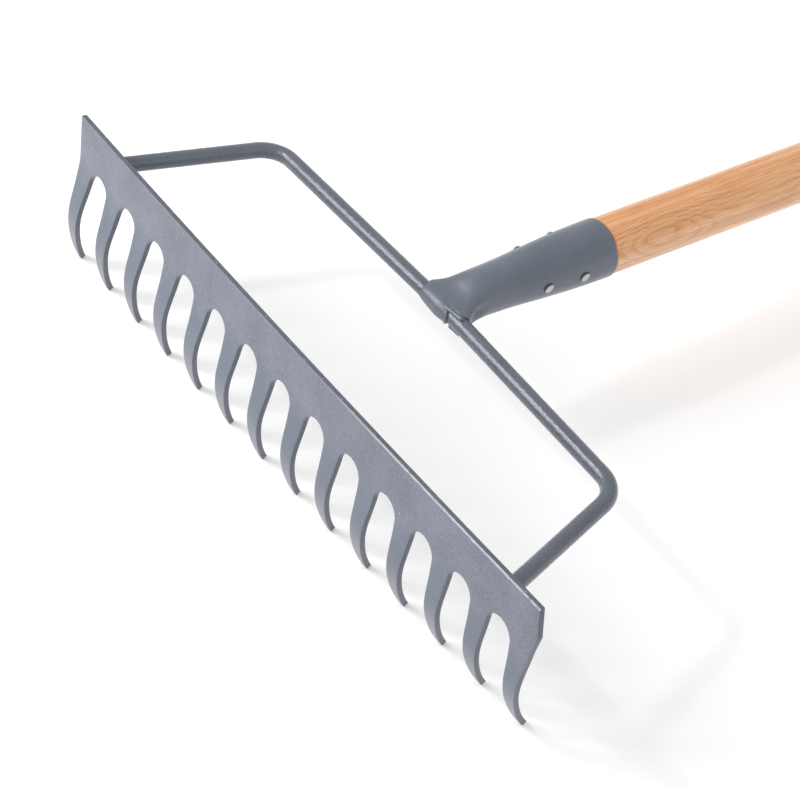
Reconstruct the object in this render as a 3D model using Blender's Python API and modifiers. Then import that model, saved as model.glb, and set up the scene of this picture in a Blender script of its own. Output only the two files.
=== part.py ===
"""Bow rake: a stamped steel head of fourteen curved tines, a bent rod bow welded to its back, a tapered
socket pinched over the middle of the bow, and an ash shaft held in the socket by two through rivets.

Everything is modelled in the head's frame, in metres: the origin is the rod's centre at the middle of the
bow, +X runs along the head, +Y towards the shaft and +Z away from the tips. The empty rest_pose then lays
the rake on level ground, on its tine tips and the butt of the shaft.
"""

import math

import bmesh
import bpy
import numpy as np

GAP = 0.0003  # clearance between two pieces that touch

# Head
TINES = 14
PITCH = 0.030
PLATE_THICKNESS = 0.003
PLATE_HEIGHT = 0.0236  # top edge to the crown of the arches between the tines
WIDE_OVERHANG = 0.0100  # plate beyond the middle of an end tine: left end's top and right end's root
NARROW_OVERHANG = 0.0066  # and at the left end's root and the right end's top
RIGHT_END_HEIGHT = 0.0155  # the right end's straight edge; the left end's is as high as the plate
ARCH_RADIUS = 0.0087
TINE_LENGTH = 0.0650  # crown of the arch to the tip, along the curve
TINE_HALF_WIDTHS = (0.0053, 0.0040, 0.0014)  # at one third, two thirds and the tip
END_TINE_OUTER_WIDTHS = (0.0051, 0.0034, 0.0014)  # outer side of an end tine, at the same places
TINE_LEANS = (math.radians(-10.9), math.radians(10.9), math.radians(29.8))  # at the same places
PLATE_LEAN = math.radians(-5.5)
TOP_EDGE = (-0.0902, 0.0126)  # y and z of the front face's top edge at the head's ends
HEAD_BOW = 0.0022  # how far the middle of the head stands forward of its ends
TIP_BOW = 0.0016  # and how much further the middle tips do
TINE_SPREAD = math.radians(5.5)  # how far the end tines are bent away from the middle ones

# Bow
ROD_RADIUS = 0.0044
BOW_CORNER = (0.1483, -0.0037)  # x and y where a leg's line meets its arm's
BOW_FOOT_X = 0.1763  # x where an arm's line meets the plate's front face
BOW_SLOPE = 0.014  # how much the bow's plane drops towards the head
BOW_CORNER_RADIUS = 0.018
BOW_MIDDLE_RADIUS = 0.150
FOOT_WELD_RADIUS = 0.0013

# Socket
SOCKET_WALL = 0.0016
SOCKET_MOUTH_Y = 0.0976
SOCKET_RADII = ((0.020, 0.0125), (0.035, 0.0130), (0.057, 0.0145), (0.080, 0.0157), (0.0976, 0.0160))
LIP_WALL = 0.0011
FLARE_YS = (0.0005, 0.003, 0.006, 0.009, 0.012, 0.016)  # stations between the lips and the first radius
FLARE_HALF_WIDTHS = (0.0172, 0.0174, 0.0161, 0.0144, 0.0133, 0.0127)
FLARE_RISES = (0.0, 0.0003, 0.0010, 0.0022, 0.0038, 0.0056)  # height above the lips' own
CREASE_DEPTH = 0.0018  # fold between upper and lower lip, at the sides
LIP_EDGE = ((0.0040, -0.0016), (0.0172, -0.0001))  # x and y of the lips' front edge, right of the tongue
TONGUE_END = (0.0080, -0.0050)  # x and y where the tongue's slanting end meets the rod's front
BORE_START_Y = 0.0235
BORE_TOE = (0.0150, 0.0060)  # y and radius where the hollow ends inside the flare
SHAFT_AXIS_Z = 0.0015
LIP_WELD_RADIUS = 0.0010
LIP_WELD_LENGTH = 0.0070
TONGUE_WELD_REACH = math.radians(55)  # to either side of the rod's front

# Shaft
SHAFT_RADIUS = 0.0153
SHAFT_LENGTH = 1.400  # from the socket's mouth to the butt
SHOULDER_LENGTH = 0.0012
BUTT_RADIUS = 0.008
RIVET_YS = (0.0540, 0.0760)
RIVET_RADIUS = 0.0022
RIVET_HEAD_RADIUS = 0.0031
RIVET_HEAD_HEIGHT = 0.0016
RIVET_TILT = math.radians(10.8)  # the right ends are lower
RIVET_SKEW = math.radians(3.9)  # and nearer to the butt
RIVET_OFFSET = 0.0024  # from the shaft's axis

HALF_HEAD = (TINES - 1) / 2 * PITCH + WIDE_OVERHANG
HEAD_DROP = PLATE_HEIGHT + TINE_LENGTH
ROUND_STEPS = 32


def clear_scene():
    for obj in list(bpy.data.objects):
        bpy.data.objects.remove(obj, do_unlink=True)


def new_collection(name, hidden=False):
    collection = bpy.data.collections.new(name)
    bpy.context.scene.collection.children.link(collection)
    collection.hide_render = hidden
    return collection


def new_material(name, colour, roughness, metallic):
    material = bpy.data.materials.new(name)
    material.use_nodes = True
    shader = material.node_tree.nodes["Principled BSDF"]
    shader.inputs["Base Color"].default_value = (*colour, 1)
    shader.inputs["Roughness"].default_value = roughness
    shader.inputs["Metallic"].default_value = metallic
    return material


def new_part(name, data, material):
    obj = bpy.data.objects.new(name, data)
    RAKE.objects.link(obj)
    obj.parent = REST_POSE
    data.materials.append(material)
    return obj


def new_cutter(name, data):
    obj = bpy.data.objects.new(name, data)
    CUTTERS.objects.link(obj)
    obj.parent = REST_POSE
    obj.hide_render = True
    obj.display_type = "WIRE"
    return obj


def cut(obj, cutter):
    modifier = obj.modifiers.new(f"cut {cutter.name}", "BOOLEAN")
    modifier.operation = "DIFFERENCE"
    modifier.solver = "EXACT"
    modifier.object = cutter


def mesh_from(name, points, faces):
    mesh = bpy.data.meshes.new(name)
    mesh.from_pydata([tuple(map(float, point)) for point in points], [], faces)
    mesh.update()
    return mesh


def smooth_through(knots, values, at):
    """A cubic through the values that doesn't overshoot them."""
    knots, values = np.asarray(knots, float), np.asarray(values, float)
    spans = np.diff(knots)
    slopes = np.diff(values) / spans
    tangents = np.zeros(len(knots))
    tangents[0], tangents[-1] = slopes[0], slopes[-1]
    for i in range(1, len(knots) - 1):
        if slopes[i - 1] * slopes[i] > 0:
            tangents[i] = 2 * slopes[i - 1] * slopes[i] / (slopes[i - 1] + slopes[i])
    k = np.clip(np.searchsorted(knots, at) - 1, 0, len(spans) - 1)
    t = np.clip((at - knots[k]) / spans[k], 0, 1)
    start = (2 * t**3 - 3 * t**2 + 1) * values[k] + (t**3 - 2 * t**2 + t) * spans[k] * tangents[k]
    end = (3 * t**2 - 2 * t**3) * values[k + 1] + (t**3 - t**2) * spans[k] * tangents[k + 1]
    return start + end


def tine_stations():
    return [PLATE_HEIGHT + TINE_LENGTH * share for share in (1 / 3, 2 / 3, 1)]


def head_profile():
    """Side view of the front face: distance down from the top edge, y, z and lean."""
    s = np.linspace(0, HEAD_DROP, 241)
    knots = [0, PLATE_HEIGHT, *tine_stations()]
    lean = smooth_through(knots, [PLATE_LEAN, PLATE_LEAN, *TINE_LEANS], s)
    step = s[1] - s[0]
    y = TOP_EDGE[0] + np.concatenate([[0], np.cumsum(np.sin((lean[1:] + lean[:-1]) / 2) * step)])
    z = TOP_EDGE[1] - np.concatenate([[0], np.cumsum(np.cos((lean[1:] + lean[:-1]) / 2) * step)])
    return s, y, z, lean


def head_point(x, s, depth=0.0):
    """A point of the head: x along it, s down its profile, depth behind its front face."""
    stations, ys, zs, leans = PROFILE
    lean = np.interp(s, stations, leans)
    y = np.interp(s, stations, ys) + depth * math.cos(lean)
    z = np.interp(s, stations, zs) + depth * math.sin(lean)
    below = max(s - PLATE_HEIGHT, 0)
    turn = TINE_SPREAD * x / HALF_HEAD * min(below / ARCH_RADIUS, 1)
    root_y, root_z = np.interp(PLATE_HEIGHT, stations, ys), np.interp(PLATE_HEIGHT, stations, zs)
    dy, dz = y - root_y, z - root_z
    y = root_y + math.cos(turn) * dy - math.sin(turn) * dz
    z = root_z + math.sin(turn) * dy + math.cos(turn) * dz
    forward = (HEAD_BOW + TIP_BOW * below / TINE_LENGTH) * (1 - (x / HALF_HEAD) ** 2)
    return x, y - forward, z


def end_half_width(s, top, root, height):
    """Half width of an end tine on its outer side; the plate's straight end is this high."""
    if s <= height:
        return top + (root - top) * s / height
    return smooth_through([height, *tine_stations()], [root, *END_TINE_OUTER_WIDTHS], s)


def tine_half_width(s):
    """Half width of a tine at s."""
    below = s - PLATE_HEIGHT
    if below <= ARCH_RADIUS:
        across = math.sqrt(max(ARCH_RADIUS**2 - (ARCH_RADIUS - max(below, 0)) ** 2, 0))
        return PITCH / 2 - across
    return smooth_through([PLATE_HEIGHT + ARCH_RADIUS, *tine_stations()],
                          [PITCH / 2 - ARCH_RADIUS, *TINE_HALF_WIDTHS], s)


def head_rows():
    """Distances down the head where its mesh has a row of points."""
    arch = [PLATE_HEIGHT + ARCH_RADIUS * (1 - math.cos(math.radians(a))) for a in range(15, 91, 15)]
    tine = np.linspace(arch[-1], HEAD_DROP, 10)[1:]
    return [0, RIGHT_END_HEIGHT, PLATE_HEIGHT, *arch, *tine]


def make_head():
    """One strip of quads for each tine and its share of the plate; the strips meet above the arches."""
    points, faces = [], []
    rows = head_rows()
    for i in range(TINES):
        middle = (i - (TINES - 1) / 2) * PITCH
        first = len(points)
        for s in rows:
            left = right = tine_half_width(s)
            if i == 0:
                left = end_half_width(s, WIDE_OVERHANG, NARROW_OVERHANG, PLATE_HEIGHT)
            if i == TINES - 1:
                right = end_half_width(s, NARROW_OVERHANG, WIDE_OVERHANG, RIGHT_END_HEIGHT)
            points += [head_point(x, s) for x in (middle - left, middle, middle + right)]
        for row in range(len(rows) - 1):
            for column in range(2):
                a = first + 3 * row + column
                faces.append((a, a + 3, a + 4, a + 1))
    mesh = mesh_from("rake_head", points, faces)
    shell = bmesh.new()
    shell.from_mesh(mesh)
    bmesh.ops.remove_doubles(shell, verts=shell.verts, dist=0.00001)
    shell.to_mesh(mesh)
    shell.free()
    head = new_part("rake_head", mesh, PAINT)
    solid = head.modifiers.new("thickness", "SOLIDIFY")
    solid.thickness = PLATE_THICKNESS
    solid.offset = -1
    solid.use_even_offset = True
    return head


def rounded_path(corners, radii, steps=8):
    """The polyline through the corners, with an arc of the given radius at each inner one."""
    corners = [np.asarray(corner, float) for corner in corners]
    path = [corners[0]]
    for before, corner, after, radius in zip(corners, corners[1:], corners[2:], radii):
        to_before = (before - corner) / np.linalg.norm(before - corner)
        to_after = (after - corner) / np.linalg.norm(after - corner)
        half = math.acos(np.clip(to_before @ to_after, -1, 1)) / 2
        inward = (to_before + to_after) / np.linalg.norm(to_before + to_after)
        centre = corner + inward * radius / math.sin(half)
        start = corner + to_before * radius / math.tan(half)
        end = corner + to_after * radius / math.tan(half)
        swing = math.pi - 2 * half
        for k in range(steps + 1):
            a, b = math.sin(swing * (1 - k / steps)), math.sin(swing * k / steps)
            path.append(centre + (a * (start - centre) + b * (end - centre)) / math.sin(swing))
    path.append(corners[-1])
    return path


def bow_corners(past_foot):
    """Foot, corner, middle, corner and foot of the rod's centre line, each foot past_foot too long."""
    corner = np.array([BOW_CORNER[0], BOW_CORNER[1], BOW_CORNER[1] * BOW_SLOPE])
    foot = np.array([BOW_FOOT_X, TOP_EDGE[0], TOP_EDGE[0] * BOW_SLOPE])
    foot = foot + (foot - corner) / np.linalg.norm(foot - corner) * past_foot
    mirror = np.array([-1, 1, 1])
    return [foot * mirror, corner * mirror, np.zeros(3), corner, foot]


def tube_curve(name, path, radius, resolution):
    curve = bpy.data.curves.new(name, "CURVE")
    curve.dimensions = "3D"
    curve.bevel_depth = radius
    curve.bevel_resolution = resolution
    curve.use_fill_caps = True
    spline = curve.splines.new("POLY")
    spline.points.add(len(path) - 1)
    for point, place in zip(spline.points, path):
        point.co = (*map(float, place), 1)
    return curve


def tube_mesh(name, path, radius, resolution):
    """A tube along the path as a closed mesh."""
    carrier = bpy.data.objects.new(name, tube_curve(name, path, radius, resolution))
    bpy.context.scene.collection.objects.link(carrier)
    bpy.context.view_layer.update()
    graph = bpy.context.evaluated_depsgraph_get()
    mesh = bpy.data.meshes.new_from_object(carrier.evaluated_get(graph))
    bpy.data.objects.remove(carrier, do_unlink=True)
    welded = bmesh.new()
    welded.from_mesh(mesh)
    bmesh.ops.remove_doubles(welded, verts=welded.verts, dist=0.00001)
    bmesh.ops.recalc_face_normals(welded, faces=welded.faces)
    welded.to_mesh(mesh)
    welded.free()
    mesh.name = name
    mesh.materials.clear()
    return mesh


def bow_path(past_foot=0.0):
    radii = (BOW_CORNER_RADIUS, BOW_MIDDLE_RADIUS, BOW_CORNER_RADIUS)
    return rounded_path(bow_corners(past_foot), radii)


def foot_frame(side):
    """Place and turn of the plate's back where an arm meets it."""
    s = (TOP_EDGE[1] - TOP_EDGE[0] * BOW_SLOPE) / math.cos(PLATE_LEAN)
    reach = PLATE_THICKNESS * (BOW_FOOT_X - BOW_CORNER[0]) / (BOW_CORNER[1] - TOP_EDGE[0])
    x = side * (BOW_FOOT_X - reach)
    place = head_point(x, s, PLATE_THICKNESS)
    outward = 2 * HEAD_BOW * x / HALF_HEAD**2
    return place, (PLATE_LEAN, 0, math.atan(outward))


def make_bow():
    """The rod, its feet sawn parallel to the back of the plate."""
    bow = new_part("bow", tube_mesh("bow", bow_path(0.010), ROD_RADIUS, 4), PAINT)
    size = 0.060
    for side, name in ((-1, "left_foot_plane"), (1, "right_foot_plane")):
        place, turn = foot_frame(side)
        block = bmesh.new()
        bmesh.ops.create_cube(block, size=size)
        for vertex in block.verts:
            vertex.co.y += GAP - size / 2
        mesh = bpy.data.meshes.new(name)
        block.to_mesh(mesh)
        block.free()
        cutter = new_cutter(name, mesh)
        cutter.location = place
        cutter.rotation_euler = turn
        cut(bow, cutter)
    return bow


def make_foot_welds():
    """A bead round each foot, lying on the back of the plate."""
    splay = (BOW_FOOT_X - BOW_CORNER[0]) / (BOW_CORNER[1] - TOP_EDGE[0])
    rise = GAP + FOOT_WELD_RADIUS
    ring = ROD_RADIUS * math.hypot(1, splay) + rise * (1 + splay)
    path = [(ring * math.cos(math.tau * k / 20), 0, ring * math.sin(math.tau * k / 20)) for k in range(20)]
    for side, name in ((-1, "weld_bow_left"), (1, "weld_bow_right")):
        curve = tube_curve(name, path, FOOT_WELD_RADIUS, 2)
        curve.splines[0].use_cyclic_u = True
        weld = new_part(name, curve, PAINT)
        place, turn = foot_frame(side)
        weld.location = (place[0] - side * splay * rise, place[1] + rise, place[2])
        weld.rotation_euler = turn


def socket_radius(y):
    ys, radii = zip(*SOCKET_RADII)
    return float(smooth_through(ys, radii, y))


def turned_mesh(name, profile):
    """A profile in the XZ plane, from its top down its outer side, for a Screw about Z."""
    edges = [(k, k + 1) for k in range(len(profile) - 1)]
    mesh = bpy.data.meshes.new(name)
    mesh.from_pydata([(r, 0, z) for r, z in profile], edges, [])
    return mesh


def turn(obj, steps=ROUND_STEPS):
    screw = obj.modifiers.new("turned", "SCREW")
    screw.steps = screw.render_steps = steps
    screw.use_merge_vertices = True
    screw.merge_threshold = 0.00001


def along_shaft(obj):
    """Turns an object's Z axis onto the shaft's axis."""
    obj.location = (0, 0, SHAFT_AXIS_Z)
    obj.rotation_euler = (-math.pi / 2, 0, 0)


def bore_stations():
    return np.linspace(SOCKET_MOUTH_Y, BORE_START_Y, 7)


def flare_sections():
    """Stations of the flattened end: y, half width, half height, middle's z, squareness and crease."""
    outer = ROD_RADIUS + GAP + LIP_WALL
    sections = []
    for y in (-0.985, -0.90, -0.75, -0.5, -0.2):
        width = FLARE_HALF_WIDTHS[0] - 0.0015 * y * y
        sections.append((y * outer, width, outer * math.sqrt(1 - y * y), 0, 0.35, 0))
    neck_y, neck_radius = SOCKET_RADII[0]
    for y, width, rise in zip(FLARE_YS, FLARE_HALF_WIDTHS, FLARE_RISES):
        share = smooth_through([FLARE_YS[0], neck_y], [0, 1], y)
        crease = CREASE_DEPTH * math.sin(math.pi * share) ** 2
        sections.append((y, width, outer + rise, SHAFT_AXIS_Z * share, 0.4 + 0.6 * share, crease))
    return sections


def socket_rings():
    """Rings of points from the lips' nose to the round mouth."""
    sections = flare_sections()
    for y, radius in SOCKET_RADII:
        sections.append((y, radius, radius, SHAFT_AXIS_Z, 1, 0))
    rings = []
    for y, width, height, middle, power, crease in sections:
        for k in range(ROUND_STEPS):
            c, s = math.cos(math.tau * k / ROUND_STEPS), math.sin(math.tau * k / ROUND_STEPS)
            across = math.copysign(abs(c) ** power * width - crease * max(1 - 3 * abs(s), 0), c)
            if abs(c) < 1e-9:
                across = 0
            rings.append((across, y, middle + height * math.copysign(abs(s) ** power, s)))
    return rings


def ring_faces(count):
    """Quads between successive rings, and a cap at each end."""
    faces = [tuple(range(ROUND_STEPS))]
    for row in range(count - 1):
        for k in range(ROUND_STEPS):
            a, b = row * ROUND_STEPS + k, row * ROUND_STEPS + (k + 1) % ROUND_STEPS
            faces.append((a, a + ROUND_STEPS, b + ROUND_STEPS, b))
    faces.append(tuple((count - 1) * ROUND_STEPS + k for k in reversed(range(ROUND_STEPS))))
    return faces


def make_bore():
    """The hollow for the shaft's tenon, with a blunt toe reaching into the flare."""
    profile = [(socket_radius(y) - SOCKET_WALL, y) for y in bore_stations()]
    past_mouth = SOCKET_MOUTH_Y + 0.010
    toe_y, toe_radius = BORE_TOE
    profile = [(0, past_mouth), (profile[0][0], past_mouth), *profile, (toe_radius, toe_y), (0, toe_y)]
    bore = new_cutter("socket_bore", turned_mesh("socket_bore", profile))
    along_shaft(bore)
    turn(bore)
    return bore


def make_rod_channel():
    reach = 1.5 * FLARE_HALF_WIDTHS[0]
    path = [point for point in bow_path() if abs(point[0]) < reach]
    slope = BOW_CORNER[1] / BOW_CORNER[0]
    path = [(-reach, reach * slope, 0), *path, (reach, reach * slope, 0)]
    return new_cutter("rod_channel", tube_mesh("rod_channel", path, ROD_RADIUS + GAP, 6))


def make_lip_trim():
    """Takes the front off the lips to the right of the tongue."""
    (ax, ay), (bx, by) = LIP_EDGE
    cx, cy = TONGUE_END
    depth = 0.012
    outline = [(ax, ay), (ax + (cx - ax) / (ay - cy) * (ay + depth), -depth), (2 * bx, -depth)]
    outline.append((2 * bx, by + (by - ay) / (bx - ax) * bx))
    points = [(x, y, -depth) for x, y in outline] + [(x, y, depth) for x, y in outline]
    faces = [(3, 2, 1, 0), (4, 5, 6, 7)]
    faces += [(k, (k + 1) % 4, (k + 1) % 4 + 4, k + 4) for k in range(4)]
    return new_cutter("lip_trim", mesh_from("lip_trim", points, faces))


def make_socket():
    """A loft from the nose of the flattened lips to the round mouth, hollowed and fitted over the rod."""
    rings = socket_rings()
    socket = new_part("socket", mesh_from("socket", rings, ring_faces(len(rings) // ROUND_STEPS)), PAINT)
    for cutter in (make_bore(), make_rod_channel(), make_lip_trim()):
        cut(socket, cutter)
    return socket


def on_rod(x, angle, distance):
    """A point at this distance from the rod's axis; angle 0 is its top and 90 degrees its front."""
    sagged = -abs(x) * abs(BOW_CORNER[1]) / BOW_CORNER[0]
    return x, sagged - distance * math.sin(angle), distance * math.cos(angle)


def make_socket_welds():
    """A bead along the front edge of each lip, and one down the end of the tongue, all on the rod."""
    distance = ROD_RADIUS + GAP + LIP_WELD_RADIUS
    clear = LIP_WELD_RADIUS + GAP
    (ax, ay), (bx, by) = LIP_EDGE
    for side, name in ((1, "weld_socket_upper"), (-1, "weld_socket_lower")):
        path = []
        for x in np.linspace(bx - LIP_WELD_LENGTH, bx - clear, 7):
            edge = ay + (by - ay) * (x - ax) / (bx - ax)
            angle = math.asin((clear - edge) / distance)
            point = on_rod(x, angle, distance)
            path.append((point[0], point[1], side * point[2]))
        new_part(name, tube_curve(name, path, LIP_WELD_RADIUS, 2), PAINT)
    cx, cy = TONGUE_END
    slant = (cx - ax) / (ay - cy)
    path = []
    for turned in np.linspace(-TONGUE_WELD_REACH, TONGUE_WELD_REACH, 9):
        y = -distance * math.cos(turned)
        x = ax + (ay - y) * slant + clear * math.hypot(1, slant)
        path.append(on_rod(x, math.pi / 2 + turned, distance))
    new_part("weld_tongue", tube_curve("weld_tongue", path, LIP_WELD_RADIUS, 2), PAINT)


def make_shaft():
    """The shaft: a tapered tenon in the socket, a short shoulder at its mouth and a rounded butt."""
    butt_y = SOCKET_MOUTH_Y + SHAFT_LENGTH
    profile = [(0, butt_y)]
    for k in range(6):
        angle = math.pi / 2 * k / 5
        profile.append((SHAFT_RADIUS - BUTT_RADIUS * (1 - math.sin(angle)),
                        butt_y - BUTT_RADIUS * (1 - math.cos(angle))))
    profile.append((SHAFT_RADIUS, SOCKET_MOUTH_Y + GAP + SHOULDER_LENGTH))
    tenon_start = BORE_START_Y + GAP
    for y in bore_stations()[:-1]:
        profile.append((socket_radius(y) - SOCKET_WALL - GAP, y))
    profile += [(socket_radius(tenon_start) - SOCKET_WALL - GAP, tenon_start), (0, tenon_start)]
    shaft = new_part("handle", turned_mesh("handle", profile), ASH)
    along_shaft(shaft)
    turn(shaft)
    return shaft


def make_rivets(shaft, socket):
    """Each rivet goes right through socket and shaft, leaning and off centre, with a dome on both ends."""
    for y, name in zip(RIVET_YS, ("rivet_front", "rivet_rear")):
        seat = socket_radius(y + 2 * RIVET_HEAD_RADIUS) + 2 * GAP
        dome = []
        for k in range(5):
            angle = math.pi / 2 * k / 4
            dome.append((RIVET_HEAD_RADIUS * math.sin(angle), seat + RIVET_HEAD_HEIGHT * math.cos(angle)))
        profile = [*dome, (RIVET_RADIUS, seat), (RIVET_RADIUS, -seat)]
        profile += [(r, -z) for r, z in reversed(dome)]
        rivet = new_part(name, turned_mesh(name, profile), STEEL)
        hole = bmesh.new()
        bmesh.ops.create_cone(hole, cap_ends=True, segments=16, radius1=RIVET_RADIUS + GAP,
                              radius2=RIVET_RADIUS + GAP, depth=4 * seat)
        hole_mesh = bpy.data.meshes.new(f"{name}_hole")
        hole.to_mesh(hole_mesh)
        hole.free()
        drill = new_cutter(f"{name}_hole", hole_mesh)
        turn(rivet, 16)
        for obj in (rivet, drill):
            across, up = math.sin(RIVET_TILT) * RIVET_OFFSET, math.cos(RIVET_TILT) * RIVET_OFFSET
            obj.location = (across, y, SHAFT_AXIS_Z + up)
            obj.rotation_euler = (0, math.pi / 2 + RIVET_TILT, RIVET_SKEW)
        cut(shaft, drill)
        cut(socket, drill)


def world_points(objects):
    bpy.context.view_layer.update()
    graph = bpy.context.evaluated_depsgraph_get()
    found = []
    for obj in objects:
        evaluated = obj.evaluated_get(graph)
        mesh = evaluated.to_mesh()
        found += [evaluated.matrix_world @ vertex.co for vertex in mesh.vertices]
        evaluated.to_mesh_clear()
    return np.array(found)


def lay_on_ground(head, shaft):
    """Tilts the rake until head and shaft both touch the ground, with the origin below its middle."""
    head_points, shaft_points = world_points([head]), world_points([shaft])

    def lowest(points, tilt):
        return (points[:, 2] * math.cos(tilt) - points[:, 1] * math.sin(tilt)).min()

    low, high = 0.0, math.radians(45)
    for _ in range(50):
        tilt = (low + high) / 2
        if lowest(shaft_points, tilt) > lowest(head_points, tilt):
            low = tilt
        else:
            high = tilt
    REST_POSE.rotation_euler = (-tilt, 0, 0)
    every_point = world_points([obj for obj in RAKE.objects if obj.type != "EMPTY"])
    least, most = every_point.min(axis=0), every_point.max(axis=0)
    REST_POSE.location = (-(least[0] + most[0]) / 2, -(least[1] + most[1]) / 2, -least[2])


clear_scene()
RAKE = new_collection("bow_rake")
CUTTERS = new_collection("cutters", hidden=True)
REST_POSE = bpy.data.objects.new("rest_pose", None)
RAKE.objects.link(REST_POSE)
PAINT = new_material("slate_paint", (0.19, 0.215, 0.27), 0.45, 0.0)
ASH = new_material("varnished_ash", (0.68, 0.35, 0.16), 0.4, 0.0)
STEEL = new_material("bright_steel", (0.45, 0.44, 0.45), 0.35, 1.0)
PROFILE = head_profile()

rake_head = make_head()
make_bow()
make_foot_welds()
rake_socket = make_socket()
make_socket_welds()
ash_shaft = make_shaft()
make_rivets(ash_shaft, rake_socket)
lay_on_ground(rake_head, ash_shaft)
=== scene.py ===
"""Bow rake lying on its tine tips and the butt of its shaft.

The head is one pressing of fourteen tines, welded to a bent rod. A socket, pinched over the middle of the
rod, holds an ash shaft with two rivets. Lengths are in metres. The rake's own frame has its origin at the
rod's centre in the middle of the bow, +X along the head, +Y towards the butt and +Z away from the tips.
"""

import math

import bmesh
import bpy
import numpy as np
from mathutils import Matrix, Vector


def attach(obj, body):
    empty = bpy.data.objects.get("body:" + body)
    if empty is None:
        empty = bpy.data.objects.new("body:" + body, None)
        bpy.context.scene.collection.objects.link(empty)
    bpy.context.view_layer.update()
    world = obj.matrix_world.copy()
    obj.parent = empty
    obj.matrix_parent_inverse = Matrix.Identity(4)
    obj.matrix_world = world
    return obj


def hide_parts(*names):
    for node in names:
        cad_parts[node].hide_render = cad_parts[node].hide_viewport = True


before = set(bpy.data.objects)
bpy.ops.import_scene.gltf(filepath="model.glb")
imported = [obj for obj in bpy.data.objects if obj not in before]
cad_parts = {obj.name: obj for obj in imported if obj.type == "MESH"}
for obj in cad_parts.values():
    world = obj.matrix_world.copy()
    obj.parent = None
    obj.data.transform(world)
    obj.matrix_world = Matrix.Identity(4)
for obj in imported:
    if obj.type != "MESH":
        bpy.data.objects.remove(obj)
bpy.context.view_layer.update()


# ---- Studio ----
# A wide pale floor under a white tent: one large soft light high on the left with a small bright one in it,
# a weaker one on the right, and a bright surround. The camera looks down at the head from its right.

SENSOR_WIDTH_MM = 36
LENS_MM = 130.84
CAMERA_PLACE = (0.85441, -1.37596, 1.02506)
CAMERA_ANGLES = (46.8128, -3.6172, 55.8485)  # degrees about X, Y and Z
LIT_POINT = Vector((0, -0.70, 0.07))  # the middle of the bow
TENT_BRIGHTNESS = 0.74
FLOOR_HALF_WIDTH = 9
FLOOR_GLOW = 0.10

camera_data = bpy.data.cameras.new("camera")
camera_data.sensor_width = SENSOR_WIDTH_MM
camera_data.lens = LENS_MM
camera = bpy.data.objects.new("camera", camera_data)
camera.location = CAMERA_PLACE
camera.rotation_euler = [math.radians(angle) for angle in CAMERA_ANGLES]
bpy.context.scene.collection.objects.link(camera)
bpy.context.scene.camera = camera


def soft_light(name, towards, distance, size, power):
    """A square lamp in this direction from the bow, facing it."""
    data = bpy.data.lights.new(name, "AREA")
    data.size = size
    data.energy = power
    lamp = bpy.data.objects.new(name, data)
    towards = Vector(towards).normalized()
    lamp.location = LIT_POINT + towards * distance
    lamp.rotation_euler = (-towards).to_track_quat("-Z", "Y").to_euler()
    bpy.context.scene.collection.objects.link(lamp)


soft_light("key", towards=(-0.58, -0.61, 0.53), distance=2.2, size=1.1, power=26)
soft_light("glint", towards=(-0.50, -0.45, 0.74), distance=2.0, size=0.16, power=5)
soft_light("fill", towards=(0.75, -0.20, 0.65), distance=2.6, size=1.6, power=4)

surround = bpy.data.worlds.new("white_tent")
surround.use_nodes = True
tent = surround.node_tree.nodes["Background"]
tent.inputs["Color"].default_value = (1, 1, 1, 1)
tent.inputs["Strength"].default_value = TENT_BRIGHTNESS
bpy.context.scene.world = surround
bpy.context.scene.view_settings.view_transform = "Standard"

floor_mesh = bpy.data.meshes.new("floor")
floor_corners = [(x * FLOOR_HALF_WIDTH, y * FLOOR_HALF_WIDTH, 0)
                 for x, y in ((-1, -1), (1, -1), (1, 1), (-1, 1))]
floor_mesh.from_pydata(floor_corners, [], [(0, 1, 2, 3)])
floor = bpy.data.objects.new("floor", floor_mesh)
bpy.context.scene.collection.objects.link(floor)
floor_card = bpy.data.materials.new("floor_card")
floor_card.use_nodes = True
floor_shader = floor_card.node_tree.nodes["Principled BSDF"]
floor_shader.inputs["Base Color"].default_value = (0.96, 0.96, 0.96, 1)
floor_shader.inputs["Roughness"].default_value = 0.9
floor_shader.inputs["Emission Color"].default_value = (1, 1, 1, 1)
floor_shader.inputs["Emission Strength"].default_value = FLOOR_GLOW
floor_mesh.materials.append(floor_card)


# ---- Head ----
# Plate and tines are one piece of 3 mm spring steel: stamped flat, its edges tumbled round, then pressed so
# that the tines hook back towards the shaft. It is bowed forward a little in its middle, and its powder coat
# is slate blue-grey, with a fine grain and thin places on its edges. Its colour also holds painted light: a
# blue reflection below the arches, a mauve reflection at the tips, a highlight along the top front edge and
# shade on the cut edges.

TINES = 14
PITCH = 0.030
PLATE_THICKNESS = 0.003
PLATE_HEIGHT = 0.0236
WIDE_OVERHANG = 0.0100  # plate beyond the middle of an end tine: left end's top, right end's root
NARROW_OVERHANG = 0.0066  # left end's root, right end's top
RIGHT_END_HEIGHT = 0.0155  # the right end's straight edge; the left end's is as high as the plate
ARCH_RADIUS = 0.0087
TINE_LENGTH = 0.0650
TINE_STATIONS = [PLATE_HEIGHT + TINE_LENGTH * share for share in (1 / 3, 2 / 3, 1)]
TINE_HALF_WIDTHS = (0.0053, 0.0040, 0.0014)  # at those three stations, the last being the tip
END_TINE_OUTER_WIDTHS = (0.0051, 0.0034, 0.0014)
TINE_LEANS = (math.radians(-10.9), math.radians(10.9), math.radians(29.8))
PLATE_LEAN = math.radians(-5.5)
TOP_EDGE = (-0.0902, 0.0126)
HEAD_BOW = 0.0022
TIP_BOW = 0.0016
TINE_SPREAD = math.radians(5.5)
EDGE_ROUNDING = 0.00045
ARCH_STEP = 7.5  # degrees from one row of points to the next round an arch
HALF_HEAD = (TINES - 1) / 2 * PITCH + WIDE_OVERHANG
HEAD_DROP = PLATE_HEIGHT + TINE_LENGTH

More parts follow.
